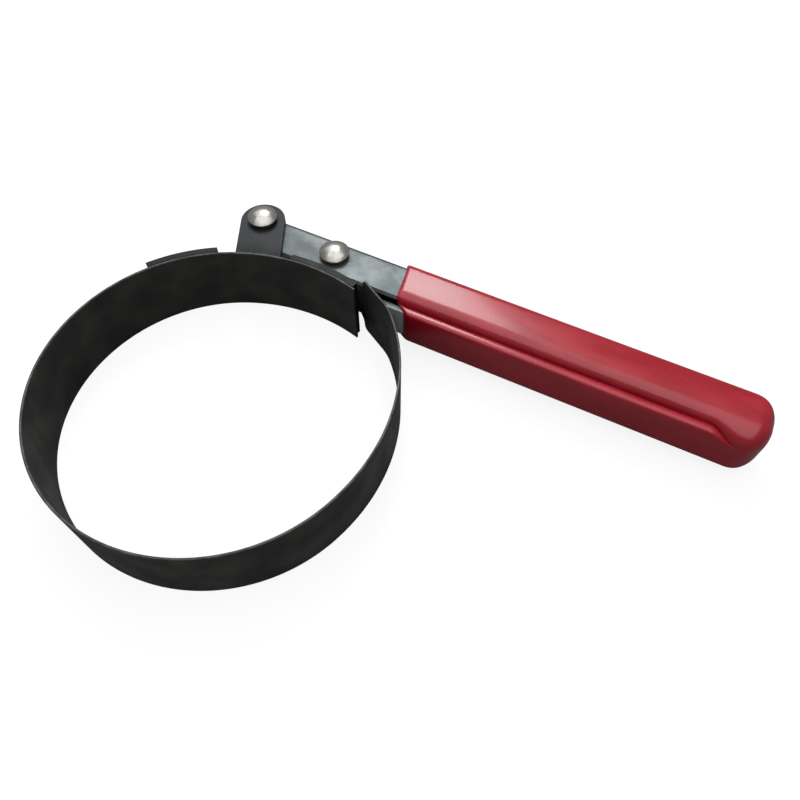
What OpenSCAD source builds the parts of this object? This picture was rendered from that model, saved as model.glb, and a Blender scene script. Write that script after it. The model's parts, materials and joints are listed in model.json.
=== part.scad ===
// Swivel-handle oil filter wrench: a steel band that a lever handle draws closed round a filter can.
// Origin on the band's axis at half its width. +Z runs along the axis, +X along the handle's length.

/* [Band] */
// Relaxed inner diameter of the band
filter_d = 98; // [96:0.5:100]
// Width of the band along its axis
band_w = 23.6; // [22:0.2:25]
// Thickness of the band's strip
band_t = 0.7; // [0.6:0.05:0.9]
// Angle at which the inner end of the band stops
tongue_end_a = 74.6; // [73:0.2:78]
// How far the tongue's end springs outward: offset of the flare's centre
tongue_flare = 8.8; // [7:0.2:10]
// How far the outer strap springs outward: offset of the strap arc's centre
strap_flare = 9.6; // [9:0.1:10]
// Radius of the bend where the strap turns towards the handle, at mid-thickness
strap_bend_r = 20; // [16:0.5:24]
// Width of the neck that enters the handle
neck_w = 10.4; // [8:0.2:11]
// Length of straight strap, from the bend to the neck's shoulders
neck_start = 9; // [8:0.1:9.2]

/* [Bracket] */
// Thickness of the bracket's plate
bracket_t = 2; // [1.6:0.1:2.2]
// Angle at which the plate's long end stops
bracket_end_a = 146.3; // [140:0.1:155]
// Width of each ear
ear_w = 14.3; // [13.5:0.1:15]
// Direction of the ears, out from the band
ear_a = 116.1; // [114:0.1:118]
// Running gap between an ear and the handle
ear_gap = 0.15; // [0.1:0.05:0.3]
// Where the relief cuts beside the ears end, towards the strap
relief_low_a = 94.9; // [92:0.1:97]
// Where the relief cuts beside the ears end, towards the plate's long end
relief_high_a = 121.7; // [118:0.1:124]

/* [Handle] */
// Height of the handle's channel
channel_h = 15; // [14:0.2:16]
// Thickness of the channel's sheet
channel_t = 1.8; // [1.5:0.1:2]
// Far face of the channel
channel_far_y = 67.45; // [67:0.05:68]
// Near face of the channel, the outside of its low wall
channel_near_y = 51.7; // [51.2:0.1:52]
// Near edge of the top flange
flange_near_y = 54.75; // [54.4:0.05:55]
// Top of the near wall
near_wall_top = 4.8; // [4:0.1:5]
// Where the near wall starts
near_wall_x = 26; // [25:0.5:29]
// Where the steel ends
channel_end_x = 142.3; // [120:0.1:150]
// Outside corner radius of the channel's bends
bend_r = 2.2; // [1.9:0.1:2.6]

/* [Grip] */
// Thickness of the dipped vinyl
grip_t = 1.1; // [0.8:0.1:1.4]
// Where the vinyl starts along the far edge
grip_far_x = 27.8; // [27:0.1:29]
// Where the vinyl starts along the top's near edge
grip_step_x = 30.4; // [29.5:0.1:31.5]
// Where the vinyl starts along the near wall
grip_near_x = 33.8; // [32:0.1:35]
// Corner radius of the grip's end, seen from above
grip_end_r = 7; // [6:0.5:8.5]
// Radius of the grip's long edges
grip_r = 2.8; // [2:0.1:2.9]
// Radius of the lip's edge, under the step
lip_r = 1.3; // [1:0.1:2.6]

/* [Rivets] */
// Handle pivot, seen from above
pivot_x = -22.4; // [-22.6:0.1:-22.2]
// Handle pivot, away from the band's axis
pivot_y = 62.6; // [62.4:0.1:62.8]
// Strap rivet, seen from above
strap_x = 4.95; // [4.8:0.05:5.1]
// Strap rivet, away from the band's axis
strap_y = 61.1; // [61:0.05:61.2]
// Shank radius of the pivot rivet
pivot_shank_r = 2.5; // [2.3:0.1:2.6]
// Shank radius of the strap rivet
strap_shank_r = 2.4; // [2.2:0.1:2.5]
// Radius of a rivet's head
head_r = 4.75; // [4.5:0.05:5]
// Radius of the collar under the upper head
collar_r = 3.9; // [3.5:0.1:4.2]
// Height of the collar that carries the upper head
collar_h = 1.3; // [1:0.1:1.5]
// Height of the domed upper head, above its collar
head_h = 2.2; // [1.8:0.1:2.4]
// Height of the flatter lower head
foot_h = 2; // [1.6:0.1:2.1]

/* [Hidden] */
$fn = 96;

// The band is one strip on the real tool. Here it is cut into stiff links that hinge where it bends.
ring_r = filter_d / 2;
ring_start_a = 165;     // first hinge, where the strip leaves the bracket's support
ring_link_a = 35;       // arc of each ring link
ring_links = 5;
strap_start_a = ring_start_a + ring_links * ring_link_a - 360;
strap_hinge_a = 25;     // hinge between the last link and the tail, on the strap's arc
hinge_cut = 0.06;       // half the gap between two links, in degrees

// The tongue's flared end and the outer strap are arcs tangent to the ring.
flare_a = 115;
step = 0.02;            // a shape that carries another one on is this much slimmer than it
step_a = 0.1;           // and starts this far inside it, in degrees
flare_c = [-tongue_flare * cos(flare_a), -tongue_flare * sin(flare_a)];
strap_c = [-strap_flare * cos(strap_start_a), -strap_flare * sin(strap_start_a)];
strap_r = ring_r + strap_flare;

// The strap bends more sharply off its arc, then runs straight to the strap rivet.
strap_mid_r = strap_r + band_t / 2;
bend_a = 44;
bend_c = strap_c + (strap_mid_r - strap_bend_r) * [cos(bend_a), sin(bend_a)];
eye_d = [strap_x, strap_y] - bend_c;
leave_a = atan2(eye_d[1], eye_d[0]) - acos(strap_bend_r / norm(eye_d));
leave_p = bend_c + strap_bend_r * [cos(leave_a), sin(leave_a)];
leave_d = [-sin(leave_a), cos(leave_a)];

// The eye is an oval loop, so that the strap rivet can travel in it as the handle swings.
eye_gap = 0.25;
eye_r = strap_shank_r + eye_gap;
eye_back = [-1.4, -0.5];
eye_front = [1.1, 0.15];
shoulder_r = (band_w - neck_w) / 2;

// Bracket
plate_gap = 0.05;
ear_low_z = channel_h / 2 + ear_gap;
ear_top_z = ear_low_z + bracket_t;
ear_base_a = 107.9;     // middle of the ears' root, seen from the band's axis
ear_half_a = 8;         // half of the root's width, as an angle
ear_root_r = 50.7;      // the ears start inside the plate's thickness
relief_z = 6;           // the relief cuts reach down to here
plate_end_a = tongue_end_a + 1;

// Handle
flange_end_r = (channel_far_y - flange_near_y) / 2;
web_start_x = -20;
pivot_hole_r = pivot_shank_r + 0.06;
strap_hole_r = strap_shank_r + 0.03;
long = 400;             // longer than anything that it cuts
fit_gap = 0.02;         // between the steel and the vinyl

// A stretch of strip, upright on the plane: radius, centre, from one angle to another.
module strip(r, t, c, from_a, to_a, w) {
    translate([c[0], c[1], 0])
        rotate([0, 0, from_a])
            rotate_extrude(angle = to_a - from_a, $fn = 360)
                translate([r, -w / 2])
                    square([t, w]);
}

// A flat bar seen from above, from one point to another.
module bar(p, q, w) {
    translate(p)
        rotate(atan2(q[1] - p[1], q[0] - p[0]))
            translate([0, -w / 2])
                square([norm(q - p), w]);
}

module oval(p, q, r) {
    translate(p) circle(r);
    translate(q) circle(r);
    bar(p, q, 2 * (r - step));
}

// A rectangle with rounded corners, from its low corner.
module rounded(size, r) {
    translate([r, 0]) square([size[0] - 2 * r, size[1]]);
    translate([0, r]) square([size[0], size[1] - 2 * r]);
    for (x = [r, size[0] - r], y = [r, size[1] - r])
        translate([x, y]) circle(r);
}

// An upright plate of a given outline, centred on the plane.
module slab(h) {
    translate([0, 0, -h / 2]) linear_extrude(h) children();
}

// A domed rivet head that stands on the plane.
module dome(h) {
    dome_r = (head_r * head_r + h * h) / (2 * h);
    intersection() {
        translate([0, 0, h - dome_r]) sphere(dome_r);
        cylinder(r = head_r, h = h);
    }
}

// The upper head stands on a narrower collar. The lower head lies flat on the sheet.
module rivet(shank_r, grip_len) {
    translate([0, 0, -grip_len / 2]) cylinder(r = shank_r, h = grip_len);
    translate([0, 0, grip_len / 2]) {
        cylinder(r = collar_r, h = collar_h + head_h / 2);
        translate([0, 0, collar_h]) dome(head_h);
    }
    mirror([0, 0, 1])
        translate([0, 0, grip_len / 2])
            dome(foot_h);
}

module band_tongue() {
    color([0.12, 0.12, 0.11]) {
        strip(ring_r, band_t, [0, 0], flare_a, ring_start_a - hinge_cut, band_w);
        strip(ring_r + tongue_flare + step, band_t - 2 * step, flare_c,
              tongue_end_a, flare_a + step_a, band_w - 2 * step);
    }
}

module band_link(i) {
    from_a = ring_start_a + (i - 1) * ring_link_a;
    color([0.12, 0.12, 0.11])
        strip(ring_r, band_t, [0, 0], from_a + hinge_cut, from_a + ring_link_a - hinge_cut, band_w);
}

module band_link_6() {
    color([0.12, 0.12, 0.11])
        strip(strap_r, band_t, strap_c, strap_start_a + hinge_cut, strap_hinge_a - hinge_cut, band_w);
}

// What the two shoulders take away from the strap, either side of the neck.
module shoulder_cut() {
    for (side = [0, 1])
        mirror([0, 0, side])
            translate([leave_p[0], leave_p[1], 0])
                rotate([0, 0, leave_a])
                    translate([-3, neck_start + shoulder_r, neck_w / 2])
                        rotate([90, 0, 90])
                            linear_extrude(6) {
                                translate([0, shoulder_r]) circle(shoulder_r);
                                square([long, shoulder_r + 1]);
                            }
}

module band_tail() {
    eye_p = [strap_x, strap_y];
    color([0.12, 0.12, 0.11]) {
        strip(strap_r, band_t, strap_c, strap_hinge_a + hinge_cut, bend_a, band_w);
        strip(strap_bend_r - band_t / 2 + step, band_t - 2 * step, bend_c,
              bend_a - step_a, leave_a, band_w - 2 * step);
        difference() {
            slab(band_w - 4 * step)
                bar(leave_p - step * leave_d, leave_p + (neck_start + shoulder_r) * leave_d,
                    band_t - 4 * step);
            shoulder_cut();
        }
        slab(neck_w - step)
            difference() {
                union() {
                    bar(leave_p + neck_start * leave_d, eye_p, band_t - 6 * step);
                    oval(eye_p + eye_back, eye_p + eye_front, eye_r + band_t);
                }
                oval(eye_p + eye_back, eye_p + eye_front, eye_r);
            }
    }
}

module ear_outline() {
    difference() {
        union() {
            translate([pivot_x, pivot_y]) circle(ear_w / 2);
            translate([pivot_x, pivot_y])
                rotate(ear_a + 180)
                    translate([0, step - ear_w / 2])
                        square([20, ear_w - 2 * step]);
        }
        circle(ear_root_r, $fn = 360);
    }
}

// What is taken off the plate's top and bottom between two angles, down to a height.
module plate_trim(from_a, to_a, z) {
    for (side = [0, 1])
        mirror([0, 0, side])
            translate([0, 0, z + band_w / 2])
                strip(ring_r - 2, 2 * tongue_flare, [0, 0], from_a, to_a, band_w);
}

module bracket() {
    plate_r = ring_r + band_t + plate_gap;
    ear_from = ear_base_a - ear_half_a;
    ear_to = ear_base_a + ear_half_a;
    color([0.22, 0.25, 0.28])
        difference() {
            union() {
                difference() {
                    union() {
                        strip(plate_r, bracket_t, [0, 0], flare_a, bracket_end_a, band_w);
                        strip(plate_r + tongue_flare + step, bracket_t - 2 * step, flare_c,
                              plate_end_a, flare_a + step_a, band_w - 2 * step);
                    }
                    plate_trim(relief_low_a + 1, relief_high_a - 1, ear_top_z);
                    plate_trim(ear_to, relief_high_a, relief_z);
                    plate_trim(relief_low_a, ear_from, relief_z);
                }
                for (side = [0, 1])
                    mirror([0, 0, side])
                        translate([0, 0, ear_low_z])
                            linear_extrude(bracket_t) ear_outline();
            }
            translate([pivot_x, pivot_y, -band_w])
                cylinder(r = pivot_shank_r + 0.02, h = 2 * band_w);
        }
}

module pivot_rivet() {
    color([0.80, 0.79, 0.74])
        translate([pivot_x, pivot_y, 0])
            rivet(pivot_shank_r, 2 * ear_top_z);
}

module strap_rivet() {
    color([0.80, 0.79, 0.74])
        translate([strap_x, strap_y, 0])
            rivet(strap_shank_r, channel_h);
}

// Lays a section drawn in Y and Z along X.
module along_x(from_x, to_x) {
    translate([from_x, 0, 0])
        rotate([90, 0, 90])
            linear_extrude(to_x - from_x) children();
}

// The channel's outside, grown by t: a folded box, open in a seam under the top flange's near edge.
module channel_section(t) {
    difference() {
        translate([channel_near_y - t, -channel_h / 2 - t])
            rounded([channel_far_y - channel_near_y + 2 * t, channel_h + 2 * t], bend_r + t);
        translate([channel_near_y - 1 - t, near_wall_top + t])
            square([flange_near_y - channel_near_y + 1, channel_h]);
    }
}

// The vinyl's outside: it follows the steel's step along the near top edge, with softer corners.
module grip_section() {
    near_y = channel_near_y - grip_t;
    nose_y = flange_near_y - grip_t;
    far_y = channel_far_y + grip_t;
    low_z = -channel_h / 2 - grip_t;
    lip_z = near_wall_top + grip_t;
    translate([near_y, low_z]) rounded([far_y - near_y, lip_z - low_z], grip_r);
    translate([near_y, 0]) rounded([far_y - near_y, lip_z], lip_r);
    translate([nose_y, low_z]) rounded([far_y - nose_y, -2 * low_z], grip_r);
}

// The handle's outline from above, right of start_x and grown by t, with rounded corners at its end.
module end_outline(start_x, t) {
    r = grip_end_r - grip_t + t;
    low_y = channel_near_y - t;
    w = channel_far_y - channel_near_y + 2 * t;
    end_x = channel_end_x + t;
    translate([start_x, low_y]) square([end_x - r - start_x, w]);
    translate([end_x - 2 * r, low_y + r]) square([2 * r, w - 2 * r]);
    for (y = [low_y + r, low_y + w - r])
        translate([end_x - r, y]) circle(r);
}

module channel_outline() {
    translate([pivot_x, flange_near_y + flange_end_r]) circle(flange_end_r);
    translate([pivot_x, flange_near_y])
        square([near_wall_x - pivot_x, channel_far_y - flange_near_y]);
    end_outline(near_wall_x, 0);
}

module handle_channel() {
    inside_h = channel_h - 2 * channel_t;
    color([0.50, 0.54, 0.56])
        difference() {
            intersection() {
                along_x(pivot_x - ear_w, channel_end_x)
                    difference() {
                        channel_section(0);
                        translate([channel_near_y + channel_t, -inside_h / 2])
                            rounded([channel_far_y - channel_near_y - 2 * channel_t, inside_h],
                                    bend_r - channel_t);
                    }
                slab(long) channel_outline();
            }
            // the channel is open towards the band round the two rivets
            translate([pivot_x - ear_w, 0, -long / 2])
                cube([near_wall_x - pivot_x + ear_w, flange_near_y, long]);
            // the web stops short of the ears' root
            translate([pivot_x - ear_w, 0, -inside_h / 2])
                cube([web_start_x - pivot_x + ear_w, long, inside_h]);
            translate([pivot_x, pivot_y, -channel_h])
                cylinder(r = pivot_hole_r, h = 2 * channel_h);
            translate([strap_x, strap_y, -channel_h])
                cylinder(r = strap_hole_r, h = 2 * channel_h);
        }
}

// Grip outline from above: the vinyl's edge runs slantwise across the handle.
module grip_outline() {
    difference() {
        end_outline(grip_far_x, grip_t);
        polygon([[grip_far_x - 1, 0], [grip_near_x, 0], [grip_near_x, channel_near_y],
                 [grip_step_x, flange_near_y], [grip_far_x, channel_far_y + grip_t],
                 [grip_far_x - 1, long]]);
    }
}

module grip() {
    color([0.62, 0.05, 0.10])
        difference() {
            intersection() {
                along_x(0, long) grip_section();
                slab(long) grip_outline();
            }
            intersection() {
                along_x(0, long) channel_section(fit_gap);
                slab(long) end_outline(0, fit_gap);
            }
        }
}

band_tongue();
band_link(1);  // band_link_1
band_link(2);  // band_link_2
band_link(3);  // band_link_3
band_link(4);  // band_link_4
band_link(5);  // band_link_5
band_link_6();
band_tail();
bracket();
pivot_rivet();
strap_rivet();
handle_channel();
grip();
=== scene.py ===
import json
import math

import bmesh
import bpy
from mathutils import Matrix, Vector


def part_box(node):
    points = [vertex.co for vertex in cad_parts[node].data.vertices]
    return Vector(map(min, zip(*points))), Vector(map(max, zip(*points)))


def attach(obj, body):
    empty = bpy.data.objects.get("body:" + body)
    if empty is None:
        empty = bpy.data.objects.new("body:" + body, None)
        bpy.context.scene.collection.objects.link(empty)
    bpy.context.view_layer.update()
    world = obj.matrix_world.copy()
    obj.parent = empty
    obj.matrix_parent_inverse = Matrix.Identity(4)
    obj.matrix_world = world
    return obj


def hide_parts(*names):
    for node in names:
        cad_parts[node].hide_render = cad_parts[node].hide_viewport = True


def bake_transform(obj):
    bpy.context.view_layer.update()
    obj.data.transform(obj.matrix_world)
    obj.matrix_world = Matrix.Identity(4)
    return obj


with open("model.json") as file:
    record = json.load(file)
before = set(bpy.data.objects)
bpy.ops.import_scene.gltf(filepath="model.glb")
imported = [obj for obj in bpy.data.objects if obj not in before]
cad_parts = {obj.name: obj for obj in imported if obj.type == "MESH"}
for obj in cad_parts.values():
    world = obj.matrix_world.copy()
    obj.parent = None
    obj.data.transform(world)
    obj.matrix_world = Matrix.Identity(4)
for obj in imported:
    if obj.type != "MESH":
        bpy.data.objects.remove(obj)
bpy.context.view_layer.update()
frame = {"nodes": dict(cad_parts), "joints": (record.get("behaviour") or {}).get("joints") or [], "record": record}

# Lengths in this script are in millimetres, in the CAD frame. MM turns them into Blender's metres.
MM = 0.001

# ---------------------------------------------------------------- sizes from the frame

mounts = {m["name"]: m for m in frame["record"]["mounts"]}
joints = {j["name"]: j for j in frame["joints"]}


def joint_place(name):
    return Vector(joints[name]["pos_m"][:2]) / MM


def node_box(name):
    low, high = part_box(name)
    return low / MM, high / MM


ring_r = mounts["filter_band"]["dims"]["r_mm"]
band_w = mounts["filter_band"]["dims"]["length_mm"]
pivot = joint_place("handle_pivot")
channel_low, channel_high = node_box("handle_channel")
grip_end_x = node_box("grip")[1].x
strap_low, strap_high = node_box("strap_rivet")
strap_rivet = Vector(((strap_low.x + strap_high.x) / 2, (strap_low.y + strap_high.y) / 2))

# The same driving sizes as the CAD's
band_t = 0.7
tongue_flare = 8.8
tongue_end_a = 74.6
flare_a = 115.0
strap_flare = 9.6
ring_hinges_a = [165.0, 200.0, 235.0, 270.0, 305.0, 340.0]
strap_start_a = -20.0
strap_hinge_a = 25.0
bend_a = 44.0
strap_bend_r = 20.0
neck_start = 9.0
shoulder_delay = 1.0    # the visible shoulders start this far past the CAD's
neck_w = 10.4
eye_gap = 0.25
eye_back = Vector((-1.4, -0.5))
eye_front = Vector((1.1, 0.15))
strap_shank_r = 2.4
pivot_shank_r = 2.5
ear_gap = 0.15
bracket_t = 2.0
grip_t = 1.1
channel_wall_top = 4.8
flange_near_y = 54.75
grip_far_x = 27.8
grip_step_x = 30.4
grip_near_x = 33.8
head_r = 4.75
collar_r = 3.9
collar_h = 1.3
head_h = 2.2
foot_h = 2.0

# The grip's own sizes
grip_lip_len = 1.3
grip_square_x = 46.0
grip_plan_r = 7.4
grip_side_r = 5.0
groove_close_from = 127.0
groove_close_to = 136.0
grip_hidden_end = 17.0  # the inside and the steel stop this far short of the vinyl's rounded end


def at_angle(degrees):
    a = math.radians(degrees)
    return Vector((math.cos(a), math.sin(a)))


flare_c = -tongue_flare * at_angle(flare_a)
strap_c = -strap_flare * at_angle(strap_start_a)
strap_r = ring_r + strap_flare

# ---------------------------------------------------------------- camera, floor and lights


def aim(obj, place, forward, right):
    back = -Vector(forward).normalized()
    side = (Vector(right) - Vector(right).dot(back) * back).normalized()
    up = back.cross(side)
    turn = Matrix((side, up, back)).transposed().to_4x4()
    obj.matrix_world = Matrix.Translation(Vector(place) * MM) @ turn


def make_camera():
    place = (93.556, -73.065, 172.622)
    forward = (-0.23378, 0.48288, -0.84391)
    right = (0.89607, 0.44387, 0.00575)
    data = bpy.data.cameras.new("camera")
    data.lens = 31.78
    data.sensor_width = 36.0
    data.clip_start = 0.005
    camera = bpy.data.objects.new("camera", data)
    bpy.context.scene.collection.objects.link(camera)
    aim(camera, place, forward, right)
    bpy.context.scene.camera = camera


def area_light(name, place, target, size, watts):
    data = bpy.data.lights.new(name, "AREA")
    data.shape = "RECTANGLE"
    data.size = size[0] * MM
    data.size_y = size[1] * MM
    data.energy = watts
    light = bpy.data.objects.new(name, data)
    bpy.context.scene.collection.objects.link(light)
    forward = Vector(target) - Vector(place)
    aim(light, place, forward, forward.cross(Vector((0, 0, 1))))


def make_studio():
    """Even white surroundings, dim as a light but white to the camera."""
    as_light, as_seen = 0.22, 0.95
    world = bpy.data.worlds.new("studio")
    bpy.context.scene.world = world
    world.use_nodes = True
    tree = world.node_tree
    background = tree.nodes["Background"]
    background.inputs["Color"].default_value = (1, 1, 1, 1)
    seen = tree.nodes.new("ShaderNodeLightPath")
    strength = tree.nodes.new("ShaderNodeMapRange")
    strength.inputs["To Min"].default_value = as_light
    strength.inputs["To Max"].default_value = as_seen
    tree.links.new(seen.outputs["Is Camera Ray"], strength.inputs["Value"])
    tree.links.new(strength.outputs["Result"], background.inputs["Strength"])


def make_floor():
    """A plain floor just under the band's lower rim."""
    gap = 0.05
    floor_z = -band_w / 2 - gap
    half = 3000.0
    mesh = bpy.data.meshes.new("floor")
    corners = [(-half, -half), (half, -half), (half, half), (-half, half)]
    mesh.from_pydata([(x * MM, y * MM, floor_z * MM) for x, y in corners], [], [(0, 1, 2, 3)])
    floor = bpy.data.objects.new("floor", mesh)
    bpy.context.scene.collection.objects.link(floor)
    floor.data.materials.append(floor_material())


# ---------------------------------------------------------------- materials


class Nodes:
    """A short way to write a node material."""

    def __init__(self, name):
        self.material = bpy.data.materials.new(name)
        self.material.use_nodes = True
        self.tree = self.material.node_tree
        self.tree.nodes.clear()

    def add(self, kind, **inputs):
        node = self.tree.nodes.new("ShaderNode" + kind)
        for key, value in inputs.items():
            name = key.replace("_", " ")
            if name in node.inputs:
                self.put(node.inputs[name], value)
            else:
                setattr(node, key, value)
        return node

    def put(self, socket, value):
        if isinstance(value, bpy.types.NodeSocket):
            self.tree.links.new(value, socket)
        elif isinstance(value, bpy.types.Node):
            self.tree.links.new(value.outputs[0], socket)
        else:
            socket.default_value = value

    def coordinates(self, kind="Object", scale=(1, 1, 1)):
        source = self.add("TexCoord").outputs[kind]
        return self.add("Mapping", Vector=source, Scale=scale)

    def noise(self, vector, scale, detail=3.0, roughness=0.5):
        node = self.add("TexNoise", Vector=vector, Scale=scale, Detail=detail, Roughness=roughness)
        return node.outputs["Fac"]

    def ramp(self, value, low, high, out_low=0.0, out_high=1.0):
        node = self.add("MapRange", Value=value, interpolation_type="SMOOTHSTEP")
        self.put(node.inputs["From Min"], low)
        self.put(node.inputs["From Max"], high)
        self.put(node.inputs["To Min"], out_low)
        self.put(node.inputs["To Max"], out_high)
        return node.outputs["Result"]

    def mix(self, share, a, b):
        node = self.add("Mix", data_type="RGBA")
        self.put(node.inputs["Factor"], share)
        for socket, value in ((node.inputs[6], a), (node.inputs[7], b)):
            self.put(socket, (*value, 1.0) if isinstance(value, tuple) else value)
        return node.outputs[2]

    def math(self, operation, a, b=0.0):
        node = self.add("Math", operation=operation)
        self.put(node.inputs[0], a)
        self.put(node.inputs[1], b)
        return node.outputs[0]

    def bump(self, height, distance, strength=1.0, normal=None):
        node = self.add("Bump", Height=height, Strength=strength, Distance=distance)
        if normal is not None:
            self.put(node.inputs["Normal"], normal)
        return node.outputs["Normal"]

    def surface(self, shader):
        out = self.add("OutputMaterial")
        self.put(out.inputs["Surface"], shader)
        return self.material


def principled(n, colour, roughness, metallic=0.0, normal=None, **more):
    node = n.add("BsdfPrincipled")
    values = {"Base Color": colour, "Roughness": roughness, "Metallic": metallic}
    if normal is not None:
        values["Normal"] = normal
    values.update({key.replace("_", " "): value for key, value in more.items()})
    for key, value in values.items():
        n.put(node.inputs[key], (*value, 1.0) if isinstance(value, tuple) and len(value) == 3 else value)
    return node.outputs[0]


def floor_material():
    """Pale grey that takes soft shadows, lifted to white where the camera sees it."""
    n = Nodes("pale_floor")
    soft = principled(n, (0.20, 0.20, 0.20), 0.9, Specular_IOR_Level=0.0)
    glow = n.add("Emission", Color=(1, 1, 1, 1), Strength=0.86)
    seen = n.add("LightPath").outputs["Is Camera Ray"]
    glow_seen = n.add("MixShader")
    n.put(glow_seen.inputs[0], seen)
    n.put(glow_seen.inputs[1], n.add("Emission", Strength=0.0).outputs[0])
    n.put(glow_seen.inputs[2], glow.outputs[0])
    both = n.add("AddShader")
    n.put(both.inputs[0], soft)
    n.put(both.inputs[1], glow_seen.outputs[0])
    return n.surface(both.outputs[0])


def band_material():
    """Black-oxide spring steel: drawn lines along the strip, cloudy sheen, edges rubbed lighter."""
    n = Nodes("band_black")
    uv = n.coordinates("UV")
    cloud = n.noise(uv, 90.0, 4.0)
    lines = n.noise(n.coordinates("UV", (40, 2600, 1)), 1.0, 3.0)
    specks = n.noise(n.coordinates("UV", (1, 1, 1)), 1500.0, 2.0)
    across = n.add("SeparateXYZ", Vector=n.add("TexCoord").outputs["UV"]).outputs["Y"]
    from_edge = n.math("ABSOLUTE", across)
    edge = n.ramp(from_edge, (band_w / 2 - 0.55) * MM, (band_w / 2 - 0.05) * MM)
    worn = n.math("MULTIPLY", edge, n.ramp(n.noise(uv, 300.0, 4.0), 0.40, 0.62, 0.15, 1.0))
    base = n.mix(n.ramp(cloud, 0.35, 0.7), (0.024, 0.0255, 0.023), (0.048, 0.049, 0.044))
    base = n.mix(n.ramp(specks, 0.60, 0.78, 0.0, 0.4), base, (0.040, 0.040, 0.036))
    base = n.mix(n.math("MULTIPLY", worn, 0.7), base, (0.11, 0.11, 0.105))
    rough = n.ramp(cloud, 0.3, 0.7, 0.50, 0.36)
    normal = n.bump(lines, 0.004 * MM, 0.6)
    normal = n.bump(specks, 0.004 * MM, 0.4, normal)
    return n.surface(principled(n, base, rough, 0.10, normal, Specular_IOR_Level=0.35))


def bracket_material():
    """Blued pressed steel: slate, slightly mottled, satin, with painted shade darkening it towards the band where
    the ears bend down.
    """
    n = Nodes("bracket_slate")
    where = n.coordinates()
    cloud = n.noise(where, 160.0, 4.0, 0.6)
    grain = n.noise(where, 2200.0, 3.0)
    base = n.mix(n.ramp(cloud, 0.35, 0.68), (0.013, 0.0155, 0.0165), (0.021, 0.0245, 0.026))
    base = n.mix(n.ramp(grain, 0.60, 0.80, 0.0, 0.35), base, (0.05, 0.055, 0.058))
    # Painted shade: darker towards the band, where the ears bend down from the plate and would turn away from the
    # light.
    flat = n.add("VectorMath", operation="MULTIPLY")
    n.put(flat.inputs[0], where)
    n.put(flat.inputs[1], (1, 1, 0))
    from_axis = n.add("VectorMath", operation="LENGTH")
    n.put(from_axis.inputs[0], flat)
    bend = n.ramp(from_axis.outputs["Value"], (ring_r + 3.0) * MM, (ring_r + 8.5) * MM, 0.8, 0.0)
    base = n.mix(bend, base, (0.004, 0.005, 0.005))
    rough = n.ramp(cloud, 0.3, 0.7, 0.46, 0.58)
    normal = n.bump(grain, 0.008 * MM, 0.6)
    return n.surface(principled(n, base, rough, 0.55, normal))


def handle_material():
    """Zinc-plated sheet with a cloudy, slightly blue passivation and dull patches. The near low wall gets painted
    light: a brighter, less metallic base."""
    n = Nodes("handle_zinc")
    # Painted light: the lighter colours given to the near low wall.
    lit_wall_dull, lit_wall_bright = (0.42, 0.46, 0.48), (0.62, 0.66, 0.68)
    where = n.coordinates()
    patch = n.noise(n.coordinates("Object", (1, 1.6, 1)), 95.0, 5.0, 0.62)
    tint = n.noise(where, 60.0, 2.0)
    grain = n.noise(where, 1500.0, 4.0, 0.65)
    base = n.mix(n.ramp(patch, 0.36, 0.66), (0.080, 0.091, 0.094), (0.112, 0.122, 0.124))
    base = n.mix(n.ramp(tint, 0.45, 0.72, 0.0, 0.35), base, (0.12, 0.16, 0.155))
    base = n.mix(n.ramp(grain, 0.58, 0.80, 0.0, 0.45), base, (0.08, 0.085, 0.09))
    # Painted light: faces turned towards -Y, the near low wall, get a brighter and less metallic base in place of
    # the light they miss.
    outward = n.add("SeparateXYZ", Vector=n.add("TexCoord").outputs["Normal"]).outputs["Y"]
    painted_light_wall = n.ramp(outward, -0.9, -0.6, 1.0, 0.0)
    base = n.mix(painted_light_wall, base, n.mix(n.ramp(patch, 0.36, 0.66), lit_wall_dull, lit_wall_bright))
    rough = n.ramp(patch, 0.3, 0.7, 0.50, 0.40)
    normal = n.bump(grain, 0.010 * MM, 0.5)
    normal = n.bump(patch, 0.05 * MM, 0.25, normal)
    metal = n.ramp(painted_light_wall, 0.0, 1.0, 0.75, 0.3)
    return n.surface(principled(n, base, rough, metal, normal))


def rivet_material():
    """Nickel-plated formed head: bright, faintly warm, dulled in soft patches."""
    n = Nodes("rivet_nickel")
    where = n.coordinates()
    cloud = n.noise(where, 380.0, 3.0)
    grain = n.noise(where, 2600.0, 3.0)
    base = n.mix(n.ramp(cloud, 0.35, 0.7), (0.40, 0.39, 0.35), (0.54, 0.53, 0.50))
    rough = n.ramp(cloud, 0.3, 0.7, 0.36, 0.24)
    normal = n.bump(grain, 0.006 * MM, 0.25)
    normal = n.bump(cloud, 0.08 * MM, 0.25, normal)
    return n.surface(principled(n, base, rough, 0.9, normal))


def grip_material():
    """Dipped vinyl: deep glossy red with the faint ripple of a coating that flowed and set."""
    n = Nodes("grip_vinyl")
    where = n.coordinates()
    flow = n.noise(n.coordinates("Object", (0.35, 1, 1)), 150.0, 2.0)
    peel = n.noise(where, 700.0, 2.0)
    base = n.mix(n.ramp(flow, 0.35, 0.7), (0.330, 0.008, 0.018), (0.400, 0.013, 0.028))
    rough = n.ramp(flow, 0.35, 0.7, 0.25, 0.31)
    normal = n.bump(flow, 0.25 * MM, 0.25)
    normal = n.bump(peel, 0.02 * MM, 0.06, normal)
    return n.surface(
        principled(n, base, rough, 0.0, normal,
                   Specular_IOR_Level=0.5, Coat_Weight=0.25, Coat_Roughness=0.12)
    )


band_black = band_material()
bracket_slate = bracket_material()
handle_zinc = handle_material()
rivet_nickel = rivet_material()
grip_vinyl = grip_material()

# ---------------------------------------------------------------- mesh helpers


def link_piece(name, mesh, material, sharp_deg=35.0):
    obj = bpy.data.objects.new(name, mesh)
    bpy.context.scene.collection.objects.link(obj)
    mesh.materials.append(material)
    mesh.shade_smooth()
    mesh.set_sharp_from_angle(angle=math.radians(sharp_deg))
    return obj


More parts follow.
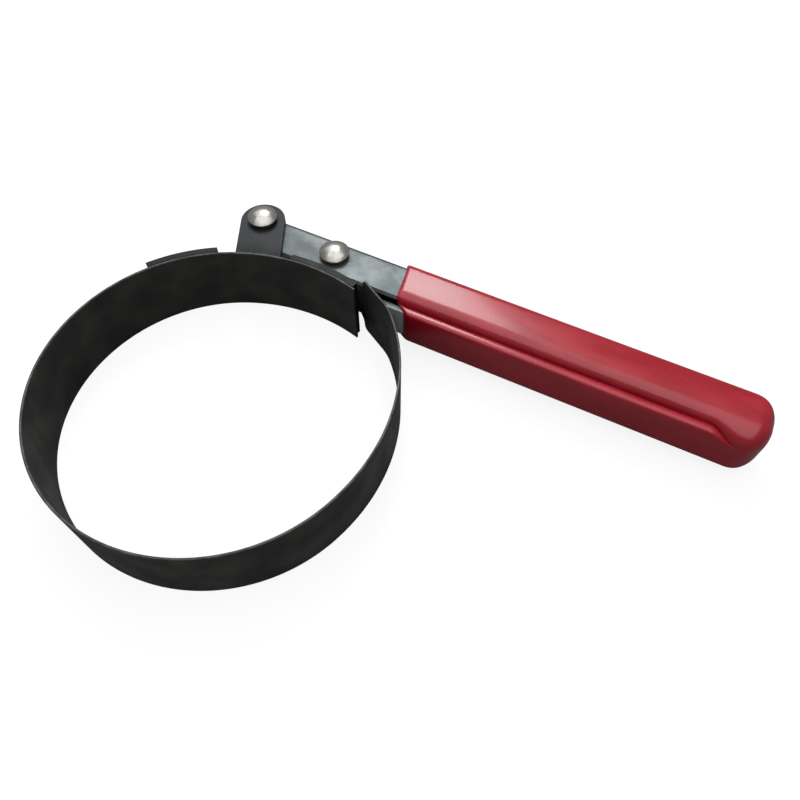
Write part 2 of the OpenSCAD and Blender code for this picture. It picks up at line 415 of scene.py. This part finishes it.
def mesh_of(name, points, faces, uvs=None):
    """A mesh from points in millimetres. uvs holds one (u, v) in metres for each point."""
    mesh = bpy.data.meshes.new(name)
    mesh.from_pydata([tuple(Vector(p) * MM) for p in points], [], faces)
    if uvs is not None:
        layer = mesh.uv_layers.new(name="strip")
        for loop in mesh.loops:
            layer.data[loop.index].uv = uvs[loop.vertex_index]
    bm = bmesh.new()
    bm.from_mesh(mesh)
    bmesh.ops.recalc_face_normals(bm, faces=bm.faces)
    bm.to_mesh(mesh)
    bm.free()
    return mesh


def ring_faces(rings, size):
    """Quads between successive rings of points, and a cap on each end."""
    faces = []
    for i in range(rings - 1):
        for j in range(size):
            k = (j + 1) % size
            faces.append((i * size + j, i * size + k, (i + 1) * size + k, (i + 1) * size + j))
    faces.append(tuple(range(size)))
    faces.append(tuple(range((rings - 1) * size, rings * size)))
    return faces


def finish_edges(obj, width, segments=3, angle_deg=35.0):
    """Rounds the piece's edges and keeps its flat faces flat."""
    bevel = obj.modifiers.new("edges", "BEVEL")
    bevel.width = width * MM
    bevel.segments = segments
    bevel.limit_method = "ANGLE"
    bevel.angle_limit = math.radians(angle_deg)
    bevel.harden_normals = False
    flat = obj.modifiers.new("flats", "WEIGHTED_NORMAL")
    flat.keep_sharp = True


def from_cad(node, material, edge):
    """A piece with a CAD node's shape, its flats joined up and its edges rounded."""
    source = frame["nodes"][node]
    bm = bmesh.new()
    bm.from_mesh(source.data)
    bmesh.ops.remove_doubles(bm, verts=bm.verts, dist=0.002 * MM)
    bmesh.ops.dissolve_limit(bm, angle_limit=math.radians(0.6), verts=bm.verts, edges=bm.edges)
    mesh = bpy.data.meshes.new(node + "_body")
    bm.to_mesh(mesh)
    bm.free()
    obj = link_piece(node + "_body", mesh, material)
    finish_edges(obj, edge)
    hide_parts(node)
    return obj


# ---------------------------------------------------------------- band


def arc_run(centre, radius, from_a, to_a, step=1.0):
    """(point, outward normal) along an arc, ends included."""
    count = max(2, round(abs(to_a - from_a) / step) + 1)
    angles = [from_a + (to_a - from_a) * i / (count - 1) for i in range(count)]
    return [(centre + radius * at_angle(a), at_angle(a)) for a in angles]


def strip_mesh(name, run, half_width, start_s=0.0, rows=1, dent=None):
    """A strip of the band's thickness along run, whose points are on its middle line."""
    corner = 0.2
    t = band_t / 2
    turn = [(corner * (1 - math.sin(math.radians(a))), corner * (1 - math.cos(math.radians(a))))
            for a in (0, 45, 90)]
    points, uvs = [], []
    s = start_s
    for i, (p, normal) in enumerate(run):
        if i:
            s += (p - run[i - 1][0]).length
        h = half_width(i)
        section = []
        inner_rows = [-h + corner + (2 * h - 2 * corner) * k / rows for k in range(rows + 1)]
        section += [(-t, z) for z in inner_rows]
        section += [(-t + b, h - a) for a, b in turn[1:]]
        section += [(t - b, h - a) for a, b in reversed(turn)]
        section += [(t, z) for z in reversed(inner_rows[:-1])]
        section += [(t - b, -h + a) for a, b in turn[1:]]
        section += [(-t + b, -h + a) for a, b in reversed(turn[1:])]
        for across, z in section:
            push = dent(p, z) if dent and across == -t else 0.0
            q = p + (across + push) * normal
            points.append((q.x, q.y, z))
            uvs.append((s * MM, z * MM))
    return mesh_of(name, points, ring_faces(len(run), len(points) // len(run)), uvs)


def band_piece(name, run, nodes, start_s, half_width=None, rows=1, dent=None):
    """One stretch of the band, between two points of the run."""
    full = band_w / 2
    mesh = strip_mesh(name, run, half_width or (lambda i: full), start_s, rows, dent)
    obj = link_piece(name, mesh, band_black, 50.0)
    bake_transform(obj)
    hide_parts(*nodes)
    return obj


def run_length(run):
    return sum((b[0] - a[0]).length for a, b in zip(run, run[1:]))


def weld_dent(p, z):
    """Two rows of shallow spot-weld dimples on the tongue's inner face."""
    dimple_r, depth = 1.9, 0.10
    angle = math.degrees(math.atan2(p.y, p.x)) % 360
    out = 0.0
    for weld_a in (86.0, 97.0, 124.0, 138.0):
        for weld_z in (-5.5, 5.5):
            away = math.hypot(math.radians(angle - weld_a) * ring_r, z - weld_z) / dimple_r
            if away < 1:
                out += depth * (1 - away * away) ** 2
    return out


def bezier(a, b, c, d, count):
    """Points on a cubic curve, without the first."""
    found = []
    for i in range(1, count + 1):
        t = i / count
        found.append(
            a * (1 - t) ** 3 + b * 3 * t * (1 - t) ** 2 + c * 3 * t * t * (1 - t) + d * t ** 3
        )
    return found


def tail_run(from_a):
    """The strap's free end, as points and outward normals: its arc, a bend, a straight run, the eye
    round the strap rivet, and the hem. Also the length from the run's start to the straight's."""
    straight_len, straight_steps = 16.0, 32
    ease_in, ease_steps = 3.5, 16          # the curve from the straight to the eye
    loop_sweep, loop_steps = 235.0, 36
    hem_near, hem_far = 4.4, 9.5           # the hem's ends, as distances from the eye
    hem_gap = 0.03
    loop_r = strap_shank_r + eye_gap + band_t / 2
    mid_r = strap_r + band_t / 2
    bend_c = strap_c + (mid_r - strap_bend_r) * at_angle(bend_a)
    to_rivet = strap_rivet - bend_c
    turned = math.acos(strap_bend_r / to_rivet.length)
    leave_a = math.degrees(math.atan2(to_rivet.y, to_rivet.x) - turned)
    forward = at_angle(leave_a + 90)

    def oval(angle_deg):
        d = at_angle(angle_deg)
        centre = eye_front if d.dot(eye_front - eye_back) > 0 else eye_back
        return strap_rivet + centre + loop_r * d

    points = [p for p, _ in arc_run(strap_c, mid_r, from_a, bend_a)][:-1]
    points += [p for p, _ in arc_run(bend_c, strap_bend_r, bend_a, leave_a)]
    before = sum((b - a).length for a, b in zip(points, points[1:]))
    leave = points[-1]
    touch = oval(leave_a)
    lead = [leave + forward * straight_len * k / straight_steps for k in range(1, straight_steps + 1)]
    lead += bezier(lead[-1], lead[-1] + ease_in * forward, touch - ease_in * forward, touch, ease_steps)
    hem = []
    for a, b in zip(lead, lead[1:]):
        if hem_near < (touch - a).length < hem_far:
            ahead = (b - a).normalized()
            hem.append(a - (band_t + hem_gap) * Vector((ahead.y, -ahead.x)))
    hem.reverse()
    points += lead[:-1]
    loop_end = at_angle(leave_a + loop_sweep + 90)
    points += [oval(leave_a + loop_sweep * k / loop_steps) for k in range(loop_steps + 1)]
    last = points[-1]
    points += bezier(last, last + 2.2 * loop_end, hem[0] + 2.0 * forward, hem[0], 10)
    points += hem[1:]
    run = []
    for i, p in enumerate(points):
        ahead = points[min(i + 1, len(points) - 1)] - points[max(i - 1, 0)]
        ahead.normalize()
        run.append((p, Vector((ahead.y, -ahead.x))))
    return run, before


def tail_half_width(run, shoulder_s):
    """Full width up to a length along the run, then two concave shoulders down to the neck. The
    corners between are rounded off."""
    full, neck = band_w / 2, neck_w / 2
    shoulder, corner_len, corner_drop = 4.4, 2.0, 0.9
    along = [0.0]
    for a, b in zip(run, run[1:]):
        along.append(along[-1] + (b[0] - a[0]).length)

    def half(i):
        d = along[i] - shoulder_s
        if d <= -corner_len:
            return full
        if d <= 0:
            return full - corner_drop * (1 - math.sqrt(1 - (1 + d / corner_len) ** 2))
        if d >= shoulder:
            return neck
        return neck + (full - corner_drop - neck) * (1 - math.sqrt(1 - (1 - d / shoulder) ** 2))

    return half


def make_band():
    """The whole strip as seven pieces, each over its own stretch of the run."""
    middle = ring_r + band_t / 2
    link_half = (ring_hinges_a[1] - ring_hinges_a[0]) / 2
    origin = Vector((0, 0))

    first_end = ring_hinges_a[0] + link_half
    run = arc_run(flare_c, middle + tongue_flare, tongue_end_a, flare_a, 0.7)[:-1]
    run += arc_run(origin, middle, flare_a, first_end, 0.8)
    s = 0.0
    band_piece("band_tongue_strip", run,
               ["band_tongue"], s, rows=36, dent=weld_dent)
    s += run_length(run)

    for i in range(1, 5):
        low, high = ring_hinges_a[i] - link_half, ring_hinges_a[i] + link_half
        run = arc_run(origin, middle, low, high)
        band_piece(f"band_strip_{i}", run,
                   [f"band_link_{i}"], s)
        s += run_length(run)

    low = ring_hinges_a[5] - link_half
    strap_mid_a = (strap_start_a + strap_hinge_a) / 2
    run = arc_run(origin, middle, low - 360, strap_start_a)[:-1]
    run += arc_run(strap_c, middle + strap_flare, strap_start_a, strap_mid_a)
    band_piece("band_strip_5", run,
               ["band_link_5", "band_link_6"], s)
    s += run_length(run)

    run, before = tail_run(strap_mid_a)
    band_piece("band_tail_strip", run,
               ["band_tail"], s, tail_half_width(run, before + neck_start + shoulder_delay))


# ---------------------------------------------------------------- rivets


def lathe_mesh(name, centre, profile, sides=64):
    """A closed turned piece from (radius, height) pairs, whose first and last radii are 0."""
    points = [(centre.x, centre.y, profile[0][1])]
    for r, z in profile[1:-1]:
        for i in range(sides):
            a = 2 * math.pi * i / sides
            points.append((centre.x + r * math.cos(a), centre.y + r * math.sin(a), z))
    points.append((centre.x, centre.y, profile[-1][1]))
    rings = len(profile) - 2
    top = len(points) - 1
    faces = [(0, 1 + (i + 1) % sides, 1 + i) for i in range(sides)]
    for k in range(rings - 1):
        for i in range(sides):
            j = (i + 1) % sides
            a, b = 1 + k * sides, 1 + (k + 1) * sides
            faces.append((a + i, a + j, b + j, b + i))
    last = 1 + (rings - 1) * sides
    faces += [(last + i, last + (i + 1) % sides, top) for i in range(sides)]
    return mesh_of(name, points, faces)


def dome_profile(height, steps=14):
    """(radius, height) up a cap with a short soft rim, from its widest circle to its top."""
    dome_r = (head_r ** 2 + height ** 2) / (2 * height)
    reach = math.asin(head_r / dome_r)
    angles = [reach * (1 - k / steps) for k in range(steps + 1)]
    return [(dome_r * math.sin(a), height - dome_r * (1 - math.cos(a))) for a in angles]


def rivet(name, node, centre, shank_r, half_grip, body):
    """An upper head with an undercut collar, and a flatter lower head that lies on the sheet."""
    rim = 0.35
    upper = [(shank_r, 0.0), (collar_r, 0.02), (collar_r, 0.45), (collar_r + 0.12, 0.66),
             (head_r - 0.30, collar_h - 0.28), (head_r - 0.07, collar_h - 0.12), (head_r, collar_h)]
    upper += [(r, collar_h + rim + z) for r, z in dome_profile(head_h - rim)]
    lower = [(shank_r, 0.0), (head_r - 0.25, 0.02), (head_r - 0.05, 0.12), (head_r, 0.25)]
    lower += [(r, rim + z) for r, z in dome_profile(foot_h - rim)]
    profile = [(r, -half_grip - z) for r, z in reversed(lower)]
    profile += [(r, half_grip + z) for r, z in upper]
    obj = link_piece(name, lathe_mesh(name, centre, profile), rivet_nickel, 45.0)
    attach(obj, body)
    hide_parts(node)


# ---------------------------------------------------------------- grip


def rounded_corner(corner, into, out, r, steps=6):
    """Points that round a right-angled corner. into and out are the directions of travel, r the
    corner's radius, or its two radii along them."""
    r_into, r_out = r if isinstance(r, tuple) else (r, r)
    centre = corner - r_into * into + r_out * out
    found = []
    for k in range(steps + 1):
        a = math.radians(90 * k / steps)
        found.append(centre - r_out * out * math.cos(a) + r_into * into * math.sin(a))
    return found


def grip_section(t, close):
    """The handle's section grown by t, in Y and Z, from its near lower corner up and round. close
    fills the groove along the near top edge."""
    closed_drop = 5.3
    up, down = Vector((0, 1)), Vector((0, -1))
    away, back = Vector((1, 0)), Vector((-1, 0))
    near, far = channel_low.y - t, channel_high.y + t
    low, high = channel_low.z - t, channel_high.z + t
    open_share = 1 - close
    wall_top = channel_wall_top + t
    wall_top += (high - closed_drop - wall_top) * close
    nose = (flange_near_y - t) * open_share + (near + 0.02) * close
    depth = t / grip_t * open_share
    groove = [(-0.35, 0.0), (-0.12, -0.12), (0.08, -0.45), (0.40, -0.62), (0.62, -0.42), (0.40, 0.05),
              (0.18, 0.45), (0.03, 0.95)]
    edge_r = 1.9 + 0.9 * t
    loop = rounded_corner(Vector((near, low)), back, up, edge_r)
    loop += rounded_corner(Vector((near, wall_top)), up, away, (0.4 + 0.8 * t) * open_share + 0.01)
    loop += [Vector((nose + y * depth, wall_top + z * depth)) for y, z in groove]
    nose_r = [open_r * t * open_share + closed_r * close for open_r, closed_r in ((2.65, 5.0), (3.5, 6.8))]
    loop += rounded_corner(Vector((nose, high)), up, away, tuple(nose_r), 8)
    loop += rounded_corner(Vector((far, high)), away, down, edge_r)
    loop += rounded_corner(Vector((far, low)), down, back, edge_r)
    return loop


def smooth(x, low, high):
    t = min(1.0, max(0.0, (x - low) / (high - low)))
    return t * t * (3 - 2 * t)


def grip_start_x(y):
    """Where the dip starts at y: it slants one way over the top and more steeply below the step."""
    near, far = channel_low.y, channel_high.y
    if y < flange_near_y:
        share = (y - near) / (flange_near_y - near)
        slant = grip_near_x * (1 - share) + grip_step_x * share
    else:
        share = (y - flange_near_y) / (far - flange_near_y)
        slant = grip_step_x * (1 - share) + grip_far_x * share
    return slant + 0.30 * math.sin(y * 0.9) + 0.12 * math.sin(y * 2.3)


def drawn_in(section, dy, dz):
    """The grip's section drawn in towards the handle's middle, as its end rounds off."""
    mid_y = (channel_low.y + channel_high.y) / 2
    half_y = (channel_high.y - channel_low.y) / 2 + grip_t
    half_z = (channel_high.z - channel_low.z) / 2 + grip_t
    round_y, round_z = 1 - dy / half_y, 1 - dz / half_z
    corner_pull = 0.16 * max(dy / half_y, dz / half_z)
    found = []
    for p in section:
        y, z = (p.x - mid_y) / half_y, p.y / half_z
        kept = 1 - abs(y * z) ** 2 * corner_pull
        found.append(Vector((mid_y + half_y * y * round_y * kept, half_z * z * round_z * kept)))
    return found


def at_x(x, section):
    """A section's points as a ring of (x, y, z), all at one x."""
    return [(x, p.x, p.y) for p in section]


def grip_start_rings():
    """From the dipped edge, which is rounded over, to where the sections stand square to X."""
    lip_steps, square_steps = 8, 12
    rings = []
    for k in range(lip_steps + 1):
        turn = math.radians(90 * k / lip_steps)
        t = max(grip_t * math.sin(turn), 0.03)
        along = grip_lip_len * (1 - math.cos(turn))
        rings.append([(grip_start_x(p.x) + along, p.x, p.y) for p in grip_section(t, 0.0)])
    full = grip_section(grip_t, 0.0)
    for k in range(1, square_steps + 1):
        share = k / square_steps
        rings.append([((grip_start_x(p.x) + grip_lip_len) * (1 - share) + grip_square_x * share, p.x, p.y)
                      for p in full])
    return rings


def grip_body_rings():
    """Along the handle: the open groove, then the stretch where it closes."""
    open_steps, close_steps = 32, 12
    full = grip_section(grip_t, 0.0)
    flat_end = grip_end_x - grip_plan_r
    rings = []
    for k in range(1, open_steps + 1):
        rings.append(at_x(grip_square_x + (groove_close_from - grip_square_x) * k / open_steps, full))
    for k in range(1, close_steps + 1):
        x = groove_close_from + (flat_end - groove_close_from) * k / close_steps
        rings.append(at_x(x, grip_section(grip_t, smooth(x, groove_close_from, groove_close_to))))
    return rings


def grip_end_rings():
    """The rounded end, with a wider radius in plan than in side view."""
    steps = 18
    flat_end = grip_end_x - grip_plan_r
    rings = []
    for k in range(1, steps + 1):
        x = flat_end + grip_plan_r * math.sin(math.radians(90 * k / steps))
        dy = grip_plan_r - math.sqrt(max(0.0, grip_plan_r ** 2 - (x - flat_end) ** 2))
        into = max(0.0, x - (grip_end_x - grip_side_r))
        dz = grip_side_r - math.sqrt(max(0.0, grip_side_r ** 2 - into ** 2))
        section = grip_section(grip_t, smooth(x, groove_close_from, groove_close_to))
        rings.append(at_x(x, drawn_in(section, dy, dz)))
    return rings


def grip_inner_rings():
    """The inside, from the dipped edge to its blind end."""
    steps = 8
    hollow = grip_section(0.03, 0.0)
    end_x = grip_end_x - grip_hidden_end
    rings = []
    for k in range(steps + 1):
        share = k / steps
        rings.append([(grip_start_x(p.x) * (1 - share) + end_x * share, p.x, p.y) for p in hollow])
    return rings


def make_grip():
    """One closed skin: from the blind end of the inside, out over the dipped edge, to the round end."""
    rings = list(reversed(grip_inner_rings()))[:-1]
    rings += grip_start_rings() + grip_body_rings() + grip_end_rings()
    points = [p for ring in rings for p in ring]
    mesh = mesh_of("grip_skin", points, ring_faces(len(rings), len(rings[0])))
    obj = link_piece("grip_skin", mesh, grip_vinyl, 60.0)
    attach(obj, "handle")
    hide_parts("grip")


def make_handle():
    """The steel channel, with its far end drawn back so that it stays inside the rounded vinyl."""
    end_len, end_gap = 8.0, 0.4
    obj = from_cad("handle_channel", handle_zinc, 0.22)
    draw_back = (channel_high.x - (grip_end_x - grip_hidden_end - end_gap)) * MM
    for vertex in obj.data.vertices:
        if vertex.co.x > (channel_high.x - end_len) * MM:
            vertex.co.x -= draw_back
    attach(obj, "handle")


# ---------------------------------------------------------------- assembly

bpy.context.scene.view_settings.view_transform = "Standard"
make_camera()
make_floor()
make_studio()
area_light("overhead", (40, 20, 620), (40, 40, 0), (900, 900), 3.4)
area_light("softbox", (-150, 430, 465), (40, 60, 0), (230, 260), 1.6)
area_light("back_fill", (-350, 330, 430), (0, 60, 0), (350, 350), 0.5)

make_band()
make_handle()
bracket = from_cad("bracket", bracket_slate, 0.25)
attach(bracket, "bracket")
ear_outer_z = channel_high.z + ear_gap + bracket_t
rivet("pivot_rivet_turned", "pivot_rivet", pivot, pivot_shank_r, ear_outer_z, "bracket")
rivet("strap_rivet_turned", "strap_rivet", strap_rivet, strap_shank_r, channel_high.z, "handle")
make_grip()
